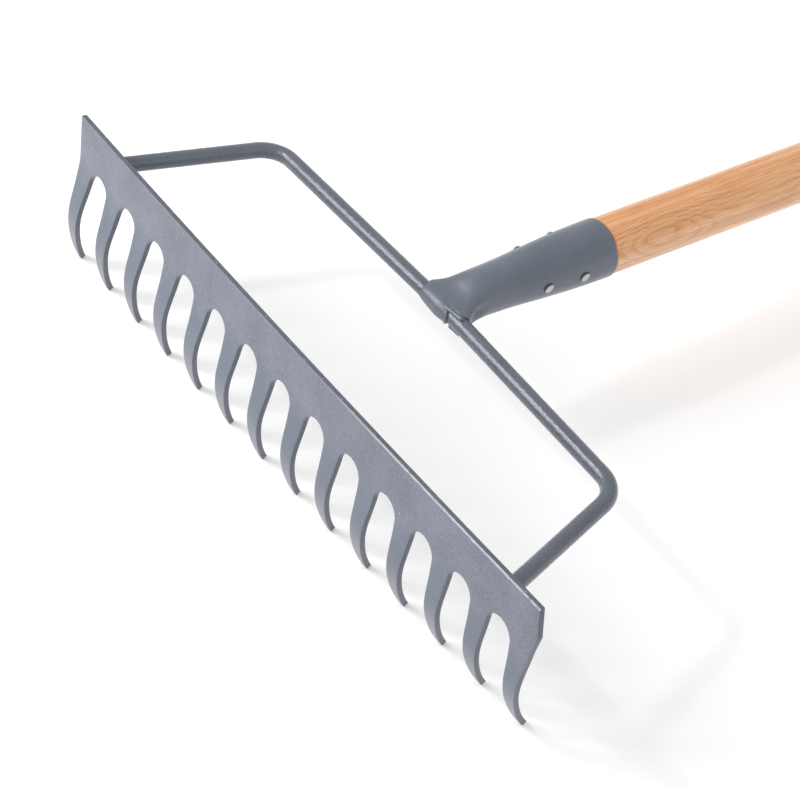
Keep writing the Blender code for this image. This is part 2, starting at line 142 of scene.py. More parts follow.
SLATE_DARK = (0.102, 0.112, 0.146)
SLATE_LIGHT = (0.196, 0.213, 0.268)
# Painted reflection: the blue-grey that the tines' faces take below the arches, where they turn up to the
# light above.
BLUE_PAINTED_REFLECTION = (0.120, 0.150, 0.195)
# Painted reflection: the paler mauve that the tips take from the light in front.
TIP_PAINTED_REFLECTION = (0.215, 0.205, 0.250)
# Painted shade on the side walls, the cut edges of plate and tines.
SIDE_WALL_PAINTED_SHADE = (0.040, 0.046, 0.062)
# Bare steel where the coat is nicked or scarred, and also a painted highlight along the plate's top front
# edge.
BARE_STEEL_AND_PAINTED_HIGHLIGHT = (0.56, 0.58, 0.62)

# The rake leans so that tips and butt both touch the floor.
RESTING_TILT = math.radians(-2.181334)
BOW_PLACE = (0, -0.696995, 0.070488)
RESTING = Matrix.Translation(BOW_PLACE) @ Matrix.Rotation(RESTING_TILT, 4, "X")


class Reading:
    """A number that varies over a surface or a mesh. Arithmetic on it adds Math nodes."""

    def __init__(self, nodes, socket):
        self.nodes = nodes
        self.socket = socket

    def math(self, operation, *others, **settings):
        inputs = dict(enumerate((self, *others)))
        added = self.nodes.add("ShaderNodeMath", {"operation": operation, **settings}, inputs)
        return Reading(self.nodes, added.outputs[0])

    def __add__(self, other):
        return self.math("ADD", other)

    def __radd__(self, other):
        return self.math("ADD", other)

    def __sub__(self, other):
        return self.math("SUBTRACT", other)

    def __rsub__(self, other):
        return (self * -1).math("ADD", other)

    def __mul__(self, other):
        return self.math("MULTIPLY", other)

    def __rmul__(self, other):
        return self.math("MULTIPLY", other)

    def __truediv__(self, other):
        return self.math("DIVIDE", other)

    def abs(self):
        return self.math("ABSOLUTE")

    def clip(self):
        """Kept between 0 and 1."""
        return self.math("ADD", 0, use_clamp=True)

    def step(self, start, end):
        """A smooth rise from 0 at start to 1 at end."""
        span = self.nodes.add("ShaderNodeMapRange", {"interpolation_type": "SMOOTHSTEP"},
                              {"Value": self, "From Min": start, "From Max": end})
        return Reading(self.nodes, span.outputs[0])


class Nodes:
    """A node tree under construction."""

    def __init__(self, tree):
        self.tree = tree

    def feed(self, socket, value):
        if isinstance(value, Reading):
            value = value.socket
        if isinstance(value, bpy.types.NodeSocket):
            self.tree.links.new(value, socket)
        else:
            socket.default_value = value

    def add(self, kind, settings=None, inputs=None):
        """A node of this type. Its settings come first, then the values or links of its sockets."""
        node = self.tree.nodes.new(kind)
        for name, value in (settings or {}).items():
            if name == "stops":
                ramp = node.color_ramp
                while len(ramp.elements) < len(value):
                    ramp.elements.new(0.5)
                for element, (position, colour) in zip(ramp.elements, value):
                    element.position = position
                    element.color = (*colour, 1)
            else:
                setattr(node, name, value)
        for name, value in (inputs or {}).items():
            self.feed(node.inputs[name], value)
        return node

    def split(self, vector):
        """The three components of a vector."""
        parts = self.add("ShaderNodeSeparateXYZ", inputs={0: vector})
        return [Reading(self, output) for output in parts.outputs]

    def join(self, x, y, z):
        return self.add("ShaderNodeCombineXYZ", inputs={0: x, 1: y, 2: z}).outputs[0]

    def noise(self, vector, scale, detail=2.0, roughness=0.5):
        found = self.add("ShaderNodeTexNoise", {"noise_dimensions": "3D"},
                         {"Vector": vector, "Scale": scale, "Detail": detail, "Roughness": roughness})
        return Reading(self, found.outputs[0])

    def blend(self, factor, first, second):
        """A colour between two, each three numbers or a link."""
        first, second = ((*c, 1) if isinstance(c, tuple) else c for c in (first, second))
        mixed = self.add("ShaderNodeMix", {"data_type": "RGBA"}, {0: factor, 6: first, 7: second})
        return mixed.outputs[2]


class Finish(Nodes):
    """A surface finish: a material whose patterns are fixed to the rake's own frame."""

    def __init__(self, name, roughness, metallic=0.0, coat=0.0, coat_roughness=0.1):
        self.material = bpy.data.materials.new(name)
        self.material.use_nodes = True
        super().__init__(self.material.node_tree)
        self.shader = self.tree.nodes["Principled BSDF"]
        constants = {"Roughness": roughness, "Metallic": metallic, "Coat Weight": coat}
        for socket, value in {**constants, "Coat Roughness": coat_roughness}.items():
            self.shader.inputs[socket].default_value = value
        world = self.add("ShaderNodeTexCoord").outputs["Object"]
        centred = self.add("ShaderNodeVectorMath", {"operation": "SUBTRACT"},
                           {0: world, 1: RESTING.translation})
        own = self.add("ShaderNodeVectorRotate", {"rotation_type": "X_AXIS"},
                       {"Vector": centred.outputs[0], "Angle": -RESTING.to_euler().x})
        self.place = own.outputs[0]

    def stretched(self, x, y, z):
        """The place, scaled along each axis."""
        return self.add("ShaderNodeVectorMath", {"operation": "MULTIPLY"},
                        {0: self.place, 1: (x, y, z)}).outputs[0]

    def colour(self, value):
        self.feed(self.shader.inputs["Base Color"], value)

    def relief(self, height, depth):
        """Bumps this deep, in metres."""
        bump = self.add("ShaderNodeBump", inputs={"Height": height, "Distance": depth, "Strength": 1.0})
        self.feed(self.shader.inputs["Normal"], bump.outputs[0])


def powder_coat(name, dark, light, grain, orange_peel, roughness=0.40, coat=0.25):
    """Slate powder coat: cloudy in tone, with fine grain and an orange-peel surface this deep."""
    finish = Finish(name, roughness=roughness, coat=coat, coat_roughness=0.55 * roughness)
    clouds = finish.noise(finish.place, 45, 3, 0.55)
    specks = finish.noise(finish.place, 1150, 2, 0.75)
    tone = ((clouds - 0.5) * 1.2 + (specks - 0.5) * grain + 0.5).clip()
    body = finish.blend(tone, dark, light)
    peel = finish.noise(finish.place, 520, 2, 0.6)
    finish.relief(peel + specks * 0.3, orange_peel)
    finish.feed(finish.shader.inputs["Roughness"], ((specks - 0.5) * 0.5 + roughness).clip())
    return finish, body


def smooth_through(knots, values, at):
    """A cubic through the values that doesn't overshoot them."""
    knots, values = np.asarray(knots, float), np.asarray(values, float)
    spans = np.diff(knots)
    slopes = np.diff(values) / spans
    tangents = np.zeros(len(knots))
    tangents[0], tangents[-1] = slopes[0], slopes[-1]
    for i in range(1, len(knots) - 1):
        if slopes[i - 1] * slopes[i] > 0:
            tangents[i] = 2 * slopes[i - 1] * slopes[i] / (slopes[i - 1] + slopes[i])
    k = np.clip(np.searchsorted(knots, at) - 1, 0, len(spans) - 1)
    t = np.clip((at - knots[k]) / spans[k], 0, 1)
    start = (2 * t**3 - 3 * t**2 + 1) * values[k] + (t**3 - 2 * t**2 + t) * spans[k] * tangents[k]
    end = (3 * t**2 - 2 * t**3) * values[k + 1] + (t**3 - t**2) * spans[k] * tangents[k + 1]
    return start + end


def end_half_width(s, top, root, height):
    """Half width of an end tine on its outer side; the plate's straight end is this high."""
    if s <= height:
        return top + (root - top) * s / height
    return smooth_through([height, *TINE_STATIONS], [root, *END_TINE_OUTER_WIDTHS], s)


def tine_half_width(s):
    """Half width of a tine this far down the head."""
    below = s - PLATE_HEIGHT
    if below <= ARCH_RADIUS:
        return PITCH / 2 - math.sqrt(max(ARCH_RADIUS**2 - (ARCH_RADIUS - max(below, 0)) ** 2, 0))
    widths = [PITCH / 2 - ARCH_RADIUS, *TINE_HALF_WIDTHS]
    return smooth_through([PLATE_HEIGHT + ARCH_RADIUS, *TINE_STATIONS], widths, s)


def stamped_blank():
    """The flat blank: x along the head and y down it. A strip for each tine and its share of the plate."""
    angles = np.arange(ARCH_STEP, 90.1, ARCH_STEP)
    arch = [PLATE_HEIGHT + ARCH_RADIUS * (1 - math.cos(math.radians(angle))) for angle in angles]
    plate = [*np.linspace(0, RIGHT_END_HEIGHT, 9), *np.linspace(RIGHT_END_HEIGHT, PLATE_HEIGHT, 6)[1:]]
    rows = [*plate, *arch, *np.linspace(arch[-1], HEAD_DROP, 44)[1:]]
    points, faces = [], []
    columns = 6
    for i in range(TINES):
        middle = (i - (TINES - 1) / 2) * PITCH
        first = len(points)
        for s in rows:
            left = right = tine_half_width(s)
            if i == 0:
                left = end_half_width(s, WIDE_OVERHANG, NARROW_OVERHANG, PLATE_HEIGHT)
            if i == TINES - 1:
                right = end_half_width(s, NARROW_OVERHANG, WIDE_OVERHANG, RIGHT_END_HEIGHT)
            points += [(x, s, 0) for x in np.linspace(middle - left, middle + right, columns + 1)]
        for row in range(len(rows) - 1):
            for column in range(columns):
                a = first + (columns + 1) * row + column
                faces.append((a, a + 1, a + columns + 2, a + columns + 1))
    mesh = bpy.data.meshes.new("blank")
    mesh.from_pydata([tuple(map(float, point)) for point in points], [], faces)
    sheet = bmesh.new()
    sheet.from_mesh(mesh)
    bmesh.ops.remove_doubles(sheet, verts=sheet.verts, dist=0.00001)
    sheet.to_mesh(mesh)
    sheet.free()
    return mesh


def press_profile():
    """The press tool's curve from the plate's top edge to the tips, in the YZ plane."""
    s = np.linspace(0, HEAD_DROP, 241)
    lean = smooth_through([0, PLATE_HEIGHT, *TINE_STATIONS], [PLATE_LEAN, PLATE_LEAN, *TINE_LEANS], s)
    middles = (lean[1:] + lean[:-1]) / 2
    y = TOP_EDGE[0] + np.concatenate([[0], np.cumsum(np.sin(middles) * (s[1] - s[0]))])
    z = TOP_EDGE[1] - np.concatenate([[0], np.cumsum(np.cos(middles) * (s[1] - s[0]))])
    return s, y, z


def path_object(name, points):
    """A curve with straight spans through the points."""
    curve = bpy.data.curves.new(name, "CURVE")
    curve.dimensions = "3D"
    spline = curve.splines.new("POLY")
    spline.points.add(len(points) - 1)
    for point, place in zip(spline.points, points):
        point.co = (*map(float, place), 1)
    made = bpy.data.objects.new(name, curve)
    bpy.context.scene.collection.objects.link(made)
    return made


def named_tree(name, sizes, links=()):
    """A Geometry Nodes tree with a geometry input and output, these named sizes, and these named links."""
    tree = bpy.data.node_groups.new(name, "GeometryNodeTree")
    tree.interface.new_socket("Geometry", in_out="INPUT", socket_type="NodeSocketGeometry")
    for size, kind in [*sizes, *links]:
        tree.interface.new_socket(size, in_out="INPUT", socket_type=f"NodeSocket{kind}")
    tree.interface.new_socket("Geometry", in_out="OUTPUT", socket_type="NodeSocketGeometry")
    return Nodes(tree)


def end_tree(nodes, geometry, material):
    """The last nodes of each tree."""
    real = nodes.add("GeometryNodeRealizeInstances", inputs={"Geometry": geometry})
    painted = nodes.add("GeometryNodeSetMaterial", inputs={"Geometry": real.outputs[0], "Material": material})
    nodes.add("NodeGroupOutput", inputs={"Geometry": painted.outputs[0]})


def run_tree(obj, nodes, values):
    """Puts the tree on the object with these inputs."""
    modifier = obj.modifiers.new(nodes.tree.name, "NODES")
    modifier.node_group = nodes.tree
    for item in nodes.tree.interface.items_tree:
        if item.in_out == "INPUT" and item.name in values:
            modifier[item.identifier] = values[item.name]


def finished(name, made):
    """The evaluated object as a plain mesh object, laid down with the rake, and its maker removed."""
    bpy.context.view_layer.update()
    graph = bpy.context.evaluated_depsgraph_get()
    mesh = bpy.data.meshes.new_from_object(made.evaluated_get(graph), depsgraph=graph)
    bpy.data.objects.remove(made, do_unlink=True)
    mesh.name = name
    mesh.transform(RESTING)
    piece = bpy.data.objects.new(name, mesh)
    bpy.context.scene.collection.objects.link(piece)
    return piece


def shade(piece, smooth_below=40):
    """Smooth shading, except across edges sharper than this many degrees."""
    mesh = piece.data
    mesh.shade_smooth()
    mesh.set_sharp_from_angle(angle=math.radians(smooth_below))


def face_out(mesh):
    """Merges the doubles and turns every face outwards."""
    shell = bmesh.new()
    shell.from_mesh(mesh)
    bmesh.ops.remove_doubles(shell, verts=shell.verts, dist=0.000005)
    bmesh.ops.recalc_face_normals(shell, faces=shell.faces)
    shell.to_mesh(mesh)
    shell.free()


def press_tree():
    """Bends a flat blank along the profile, leans its tines and bows its length."""
    sizes = [("Plate height", "Float"), ("Tine length", "Float"), ("Ease", "Float"), ("Half head", "Float"),
             ("Spread", "Float"), ("Bow", "Float"), ("Tip bow", "Float"), ("Root", "Vector")]
    nodes = named_tree("press", sizes, [("Profile", "Object"), ("Material", "Material")])
    given = nodes.add("NodeGroupInput").outputs
    size = {name: Reading(nodes, given[name]) for name, _ in sizes}
    x, s, depth = nodes.split(nodes.add("GeometryNodeInputPosition").outputs[0])
    tool = nodes.add("GeometryNodeObjectInfo", inputs={"Object": given["Profile"]}).outputs["Geometry"]
    along = nodes.add("GeometryNodeSampleCurve", {"mode": "LENGTH"}, {"Curves": tool, "Length": s})
    through = nodes.add("ShaderNodeVectorMath", {"operation": "CROSS_PRODUCT"},
                        {0: (1, 0, 0), 1: along.outputs["Tangent"]})
    offset = nodes.add("ShaderNodeVectorMath", {"operation": "SCALE"},
                       {0: through.outputs[0], "Scale": depth})
    bent = nodes.add("ShaderNodeVectorMath", {"operation": "ADD"},
                     {0: along.outputs["Position"], 1: offset.outputs[0]})
    below = (s - size["Plate height"]).math("MAXIMUM", 0)
    share = x / size["Half head"]
    lean = size["Spread"] * share * (below / size["Ease"]).clip()
    leaning = nodes.add("ShaderNodeVectorRotate", {"rotation_type": "X_AXIS"},
                        {"Vector": bent.outputs[0], "Center": size["Root"], "Angle": lean})
    _, y, z = nodes.split(leaning.outputs[0])
    forward = (size["Bow"] + size["Tip bow"] * below / size["Tine length"]) * (1 - share * share)
    place = nodes.join(x, y - forward, z)
    # Marks the side walls of the sheet, its cut edges, where the head's colour paints shade.
    flat = nodes.split(nodes.add("GeometryNodeInputNormal").outputs[0])[2].abs()
    marked = nodes.add("GeometryNodeStoreNamedAttribute", {"data_type": "FLOAT", "domain": "FACE"},
                       {"Geometry": given["Geometry"], "Name": "sheared", "Value": flat.step(0.7, 0.3)})
    moved = nodes.add("GeometryNodeSetPosition", inputs={"Geometry": marked.outputs[0], "Position": place})
    end_tree(nodes, moved.outputs[0], given["Material"])
    return nodes


def slate_wear_and_painted_light(coat, body):
    """The head's colour, with painted light in it: a blue reflection below the arches, a mauve reflection at
    the tips, a highlight along the top front edge with real nicks there and scars all over, and shade on the
    cut edges.
    """
    x, y, z = coat.split(coat.place)
    # Painted blue reflection, patchy, in a band below the arches.
    blue_reflection_band = z.step(-0.008, -0.026) * (1 - z.step(-0.036, -0.060))
    patchy = coat.noise(coat.place, 30, 2, 0.5).step(0.30, 0.60)
    with_blue_reflection = coat.blend(blue_reflection_band * (0.35 + 0.40 * patchy), body, BLUE_PAINTED_REFLECTION)
    # Painted mauve reflection towards the tips.
    with_tip_reflection = coat.blend(z.step(-0.034, -0.066) * 0.55, with_blue_reflection, TIP_PAINTED_REFLECTION)
    share = x / HALF_HEAD
    behind = y - TOP_EDGE[0] + HEAD_BOW * (1 - share * share)
    scuff_and_highlight_breakup = coat.noise(coat.stretched(260, 700, 700), 1, 3, 0.7)
    top = z.step(TOP_EDGE[1] - 0.0013, TOP_EDGE[1] - 0.0004)
    more_on_right = 0.12 + 0.88 * x.step(0.02, 0.10)
    # Painted highlight: a broken bright line along the top front edge, mostly on the right.
    painted_top_highlight = top * behind.step(0.0009, 0.0003) * scuff_and_highlight_breakup.step(0.30, 0.48) * more_on_right
    nicks = z.step(TOP_EDGE[1] - 0.0016, TOP_EDGE[1] - 0.0010) * scuff_and_highlight_breakup.step(0.64, 0.70)
    scars = coat.noise(coat.stretched(420, 420, 170), 1, 2, 0.5).step(0.735, 0.775)
    # Real nicks and scars take the bright steel colour, and so does the painted highlight.
    bare = (painted_top_highlight * 0.75 + nicks * 0.8 + scars * 0.45).clip()
    # Painted shade darkens the side walls.
    sheared = Reading(coat, coat.add("ShaderNodeAttribute", {"attribute_name": "sheared"}).outputs["Fac"])
    with_side_wall_shade = coat.blend(sheared * 0.46, with_tip_reflection, SIDE_WALL_PAINTED_SHADE)
    return coat.blend(bare, with_side_wall_shade, BARE_STEEL_AND_PAINTED_HIGHLIGHT)


plate_coat, plate_body = powder_coat("plate_coat", SLATE_DARK, SLATE_LIGHT, grain=2.4, orange_peel=0.00010)
plate_coat.colour(slate_wear_and_painted_light(plate_coat, plate_body))

blank = bpy.data.objects.new("head_blank", stamped_blank())
bpy.context.scene.collection.objects.link(blank)
wall = blank.modifiers.new("wall", "SOLIDIFY")
wall.thickness = PLATE_THICKNESS
wall.offset = 1
tumbled = blank.modifiers.new("tumbled", "BEVEL")
tumbled.width = EDGE_ROUNDING
tumbled.segments = 3
tumbled.limit_method = "ANGLE"
tumbled.angle_limit = math.radians(60)
distances, profile_y, profile_z = press_profile()
press_tool = path_object("press_tool", [(0, y, z) for y, z in zip(profile_y, profile_z)])


def pressed(s):
    """The y and z of the press tool's curve at this distance from the top edge."""
    return float(np.interp(s, distances, profile_y)), float(np.interp(s, distances, profile_z))


run_tree(blank, press_tree(), {
    "Plate height": PLATE_HEIGHT, "Tine length": TINE_LENGTH, "Ease": ARCH_RADIUS, "Half head": HALF_HEAD,
    "Spread": TINE_SPREAD, "Bow": HEAD_BOW, "Tip bow": TIP_BOW, "Root": (0, *pressed(PLATE_HEIGHT)),
    "Profile": press_tool, "Material": plate_coat.material})
head = finished("head", blank)
bpy.data.objects.remove(press_tool, do_unlink=True)
face_out(head.data)
shade(head, 60)
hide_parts("rake_head")
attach(head, "root")


# ---- Bow ----
# One 8.8 mm steel rod, bent at two corners and sawn off at the plate's back. The coating is thicker and
# lumpier on the rod than on the plate, so it glitters along the rod's upper side.

ROD_RADIUS = 0.0044
BOW_CORNER = (0.1483, -0.0037)
BOW_FOOT_X = 0.1763
BOW_SLOPE = 0.014
BOW_CORNER_RADIUS = 0.018
BOW_MIDDLE_RADIUS = 0.150
FOOT_GAP = 0.0004
COAT_LUMP_HEIGHT = 0.00025
COAT_LUMPS_PER_METRE = 480.0
ROD_DARK = (0.072, 0.085, 0.108)
ROD_LIGHT = (0.115, 0.135, 0.168)


def rounded_path(corners, radii, steps=16):
    """The polyline through the corners, with an arc of the given radius at each inner one."""
    corners = [np.asarray(corner, float) for corner in corners]
    path = [corners[0]]
    for before, corner, after, radius in zip(corners, corners[1:], corners[2:], radii):
        to_before = (before - corner) / np.linalg.norm(before - corner)
        to_after = (after - corner) / np.linalg.norm(after - corner)
        half = math.acos(np.clip(to_before @ to_after, -1, 1)) / 2
        inward = (to_before + to_after) / np.linalg.norm(to_before + to_after)
        centre = corner + inward * radius / math.sin(half)
        start = corner + to_before * radius / math.tan(half)
        end = corner + to_after * radius / math.tan(half)
        swing = math.pi - 2 * half
        for k in range(steps + 1):
            a, b = math.sin(swing * (1 - k / steps)), math.sin(swing * k / steps)
            path.append(centre + (a * (start - centre) + b * (end - centre)) / math.sin(swing))
    path.append(corners[-1])
    return path


def bow_path(short=0.0):
    """The rod's centre line, each foot this much short of the plate's front face."""
    corner = np.array([BOW_CORNER[0], BOW_CORNER[1], BOW_CORNER[1] * BOW_SLOPE])
    foot = np.array([BOW_FOOT_X, TOP_EDGE[0], TOP_EDGE[0] * BOW_SLOPE])
    foot = foot - (foot - corner) / np.linalg.norm(foot - corner) * short
    mirror = np.array([-1, 1, 1])
    corners = [foot * mirror, corner * mirror, np.zeros(3), corner, foot]
    return rounded_path(corners, (BOW_CORNER_RADIUS, BOW_MIDDLE_RADIUS, BOW_CORNER_RADIUS))


def bow_sag(x):
    """How far the rod's straight spans have come forward of its middle, as a y."""
    return -abs(x) * abs(BOW_CORNER[1]) / BOW_CORNER[0]


def rod_tree():
    """A round rod along a path, with a lumpy coat."""
    sizes = [("Radius", "Float"), ("Sides", "Int"), ("Spacing", "Float"), ("Lump height", "Float"),
             ("Lumps per metre", "Float")]
    nodes = named_tree("rod", sizes, [("Material", "Material")])
    given = nodes.add("NodeGroupInput").outputs
    even = nodes.add("GeometryNodeResampleCurve", {"mode": "LENGTH"},
                     {"Curve": given["Geometry"], "Length": given["Spacing"]})
    ring = nodes.add("GeometryNodeCurvePrimitiveCircle",
                     inputs={"Resolution": given["Sides"], "Radius": given["Radius"]})
    swept = nodes.add("GeometryNodeCurveToMesh", inputs={
        "Curve": even.outputs[0], "Profile Curve": ring.outputs[0], "Fill Caps": True})
    place = nodes.add("GeometryNodeInputPosition").outputs[0]
    lumps = nodes.noise(place, given["Lumps per metre"], 2, 0.5)
    push = nodes.add("ShaderNodeVectorMath", {"operation": "SCALE"}, {
        0: nodes.add("GeometryNodeInputNormal").outputs[0],
        "Scale": (lumps - 0.75) * Reading(nodes, given["Lump height"])})
    moved = nodes.add("GeometryNodeSetPosition",
                      inputs={"Geometry": swept.outputs[0], "Offset": push.outputs[0]})
    end_tree(nodes, moved.outputs[0], given["Material"])
    return nodes


rod_coat, rod_body = powder_coat("rod_coat", ROD_DARK, ROD_LIGHT, grain=0.7, orange_peel=0.00034,
                                 roughness=0.30, coat=0.45)
rod_coat.colour(rod_body)
rod_line = path_object("bow_line", bow_path(short=PLATE_THICKNESS + FOOT_GAP))
run_tree(rod_line, rod_tree(), {
    "Radius": ROD_RADIUS, "Sides": 52, "Spacing": 0.0008, "Lump height": COAT_LUMP_HEIGHT,
    "Lumps per metre": COAT_LUMPS_PER_METRE, "Material": rod_coat.material})
rod = finished("bow_rod", rod_line)
face_out(rod.data)
shade(rod, 50)
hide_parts("bow")
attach(rod, "root")


# ---- Socket ----
# One steel tube, drawn to a taper at the shaft's end and pressed flat at the other, where its two lips close
# over the rod. The left half of the lips is a tongue that wraps right round the rod's front.

SOCKET_WALL = 0.0016
SOCKET_MOUTH_Y = 0.0976
SOCKET_RADII = ((0.020, 0.0125), (0.035, 0.0130), (0.057, 0.0145), (0.080, 0.0157), (0.0976, 0.0160))
LIP_WALL = 0.0013
FLARE_YS = (0.0005, 0.003, 0.006, 0.009, 0.012, 0.016)
FLARE_HALF_WIDTHS = (0.0172, 0.0174, 0.0161, 0.0144, 0.0133, 0.0127)
FLARE_RISES = (0.0, 0.0003, 0.0010, 0.0022, 0.0038, 0.0056)
CREASE_DEPTH = 0.0022
NOSE_SHARE = 0.995  # how much of its depth the rounded nose keeps; its very end is flat
NOSE_TAPER = 0.0015  # how much narrower the nose is at that end
NOSE_SQUARENESS = 0.35  # 1 is a round section and 0 a square one
FLARE_SQUARENESS = 0.4  # at the lips; it reaches 1, a round section, at the neck
LIP_EDGE = ((0.0040, -0.0016), (0.0172, -0.0001))
TONGUE_END = (0.0080, -0.0050)
SHAFT_AXIS_Z = 0.0015
TONGUE_XS = (-0.020, -0.0165, -0.009, 0.001, 0.006, 0.012)
TONGUE_WALLS = (0.0006, 0.0007, 0.0013, 0.0018, 0.0011, 0.0006)
SOCKET_SIDES = 120
BORE_FLOOR = 0.015
BORE_FLOOR_RADIUS = 0.006
BORE_TAPER_START = 0.0235
BORE_RUN_OUT = 0.108  # past the mouth, so that the cut is clean
AXIS_RADIUS = 0.0001  # stands in for a point on the axis of a turned shape
CHANNEL_HALF_WIDTH = 0.026
CHANNEL_SIDES = 48
TRIM_DEPTH = 0.012
COAT_VOXEL = 0.00052
SOCKET_DARK = (0.092, 0.110, 0.140)
SOCKET_LIGHT = (0.143, 0.166, 0.204)


def socket_radius(y):
    """Outer radius of the round part of the socket at this distance along the shaft."""
    ys, radii = zip(*SOCKET_RADII)
    return float(smooth_through(ys, radii, y))


def socket_section(y):
    """Half width, half height, middle's z, squareness and side crease at this distance along the shaft."""
    outer = ROD_RADIUS + LIP_WALL
    neck_y, neck_radius = SOCKET_RADII[0]
    if y >= neck_y:
        return socket_radius(y), socket_radius(y), SHAFT_AXIS_Z, 1, 0
    if y < FLARE_YS[0]:
        share = min(abs(y / outer), NOSE_SHARE)
        width = FLARE_HALF_WIDTHS[0] - NOSE_TAPER * share**2
        return width, outer * math.sqrt(1 - share**2), 0, NOSE_SQUARENESS, 0
    width = smooth_through([*FLARE_YS, neck_y], [*FLARE_HALF_WIDTHS, neck_radius], y)
    rise = smooth_through([*FLARE_YS, neck_y], [*FLARE_RISES, neck_radius - outer], y)
    share = smooth_through([FLARE_YS[0], neck_y], [0, 1], y)
    squareness = FLARE_SQUARENESS + (1 - FLARE_SQUARENESS) * share
    crease = CREASE_DEPTH * math.sin(math.pi * share) ** 2
    return width, outer + rise, SHAFT_AXIS_Z * share, squareness, crease


def ringed(name, rings, sides):
    """A closed mesh through rings of points, capped at both ends."""
    count = len(rings) // sides
    faces = [tuple(range(sides))]
    for row in range(count - 1):
        for k in range(sides):
            a, b = row * sides + k, row * sides + (k + 1) % sides
            faces.append((a, a + sides, b + sides, b))
    faces.append(tuple((count - 1) * sides + k for k in reversed(range(sides))))
    mesh = bpy.data.meshes.new(name)
    mesh.from_pydata([tuple(map(float, point)) for point in rings], [], faces)
    return mesh


def tongue_swell(x):
    """The tongue is thickest in its middle and tapers to the left."""
    wall = smooth_through(TONGUE_XS, TONGUE_WALLS, x)
    return (ROD_RADIUS + wall) / (ROD_RADIUS + LIP_WALL)


def socket_blank():
    """The outside of the socket as a solid: a rounded nose in front of the rod, the flare and the taper."""
    nose_angles = np.linspace(0, math.pi / 2 - 0.06, 12)
    nose = [-NOSE_SHARE * math.cos(angle) * (ROD_RADIUS + LIP_WALL) for angle in nose_angles]
    flare = np.linspace(FLARE_YS[0], SOCKET_RADII[0][0], 30)
    stations = [*nose, *flare, *np.linspace(0.0225, SOCKET_MOUTH_Y, 28)]
    rings = []
    for y in stations:
        width, height, middle, power, crease = socket_section(y)
        for k in range(SOCKET_SIDES):
            c, s = math.cos(math.tau * k / SOCKET_SIDES), math.sin(math.tau * k / SOCKET_SIDES)
            across = abs(c) ** power * width - crease * max(1 - 3 * abs(s), 0)
            across = 0 if abs(c) < 1e-9 else math.copysign(across, c)
            up = middle + height * math.copysign(abs(s) ** power, s)
            swell = tongue_swell(across) if y < 0 else 1
            rings.append((across, y * swell, up * swell))
    return ringed("socket_blank", rings, SOCKET_SIDES)


def turned(name, profile, steps):
    """A profile of radius and height turned about Z, from its top down its outer side."""
    rings = []
    for radius, height in profile:
        for k in range(steps):
            angle = -math.tau * k / steps
            rings.append((radius * math.cos(angle), radius * math.sin(angle), height))
    return ringed(name, rings, steps)


def workpiece(name, mesh):
    """An object for a mesh that is still to be worked on."""
    face_out(mesh)
    made = bpy.data.objects.new(name, mesh)
    bpy.context.scene.collection.objects.link(made)
    return made


def cut_away(made, cutter):
    modifier = made.modifiers.new(cutter.name, "BOOLEAN")
    modifier.operation = "DIFFERENCE"
    modifier.solver = "EXACT"
    modifier.object = cutter


def along_shaft(mesh):
    """Turns a mesh's Z axis onto the shaft's axis."""
    mesh.transform(Matrix.Translation((0, 0, SHAFT_AXIS_Z)) @ Matrix.Rotation(-math.pi / 2, 4, "X"))
    return mesh


def lip_trim():
    """A block that takes the front off the lips to the right of the tongue."""
    (ax, ay), (bx, by) = LIP_EDGE
    cx, cy = TONGUE_END
    outline = [(ax, ay), (ax + (cx - ax) / (ay - cy) * (ay + TRIM_DEPTH), -TRIM_DEPTH), (2 * bx, -TRIM_DEPTH),
               (2 * bx, by + (by - ay) / (bx - ax) * bx)]
    points = [(x, y, z) for z in (-TRIM_DEPTH, TRIM_DEPTH) for x, y in outline]
    return ringed("lip_trim", points, 4)


def bore_profile():
    """The hollow that the tenon goes into, from past the mouth down to its floor."""
    profile = [(AXIS_RADIUS, BORE_RUN_OUT), (socket_radius(SOCKET_MOUTH_Y) - SOCKET_WALL, BORE_RUN_OUT)]
    for y in np.linspace(SOCKET_MOUTH_Y, BORE_TAPER_START, 20):
        profile.append((socket_radius(y) - SOCKET_WALL, y))
    return [*profile, (BORE_FLOOR_RADIUS, BORE_FLOOR), (AXIS_RADIUS, BORE_FLOOR)]


def rod_channel():
    """The space that the rod takes up between the lips."""
    rings = []
    for x in np.linspace(-CHANNEL_HALF_WIDTH, CHANNEL_HALF_WIDTH, 15):
        for k in range(CHANNEL_SIDES):
            angle = math.tau * k / CHANNEL_SIDES
            rings.append((x, bow_sag(x) + ROD_RADIUS * math.cos(angle), ROD_RADIUS * math.sin(angle)))
    return ringed("channel", rings, CHANNEL_SIDES)


socket_coat, socket_body = powder_coat("socket_coat", SOCKET_DARK, SOCKET_LIGHT, grain=1.0,
                                       orange_peel=0.00006)
socket_coat.colour(socket_body)
socket = workpiece("socket_tube", socket_blank())
bore = workpiece("bore", along_shaft(turned("bore", bore_profile(), SOCKET_SIDES)))
channel = workpiece("channel", rod_channel())
trim = workpiece("trim", lip_trim())
for cutter in (bore, channel, trim):
    cut_away(socket, cutter)
melted = socket.modifiers.new("coat build-up", "REMESH")
melted.mode = "VOXEL"
melted.voxel_size = COAT_VOXEL
softened = socket.modifiers.new("softened", "SMOOTH")
softened.factor = 0.5
softened.iterations = 10
socket_piece = finished("socket_body", socket)
for cutter in (bore, channel, trim):
    bpy.data.objects.remove(cutter, do_unlink=True)
socket_piece.data.materials.clear()
socket_piece.data.materials.append(socket_coat.material)
shade(socket_piece, 180)
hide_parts("socket")
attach(socket_piece, "root")


# ---- Welds ----
# Hand-laid beads: one round each foot of the bow, and three that hold the lips and the tongue to the rod.
# They were coated with the rest, and each keeps the ripples it froze with.

